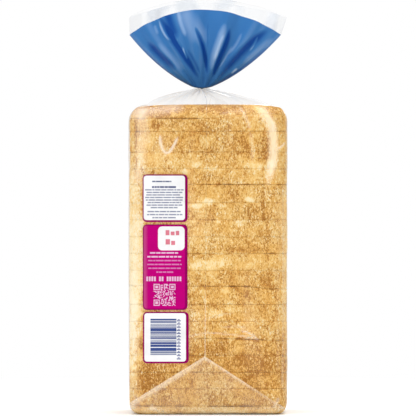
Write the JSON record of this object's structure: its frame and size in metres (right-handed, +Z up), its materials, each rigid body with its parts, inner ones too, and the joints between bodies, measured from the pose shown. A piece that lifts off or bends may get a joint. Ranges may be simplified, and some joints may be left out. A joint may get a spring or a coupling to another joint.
{
  "type": "sliced loaf in bread bag",
  "caption": "Sliced sandwich loaf sealed in a clear bread bag, standing on its end, with a gathered neck and an open pleated tail printed blue.",
  "frame": {"origin": "middle of the base, on the surface that the pack stands on", "axes": "+Z up along the loaf to the neck, -Y out of the seam side that carries the printed panels, +X to the right of that side"},
  "size_m": [0.1318, 0.1198, 0.3429],
  "materials": {
    "bag": "clear film over golden crust",
    "film": "thin clear polythene film, glossy",
    "tail_print": "polythene film printed blue, glossy",
    "crust": "baked golden crust, matte",
    "panel_print": "magenta and white ink on film"
  },
  "bodies": {
    "root": {"bag": "bag"}
  },
  "joints": []
}
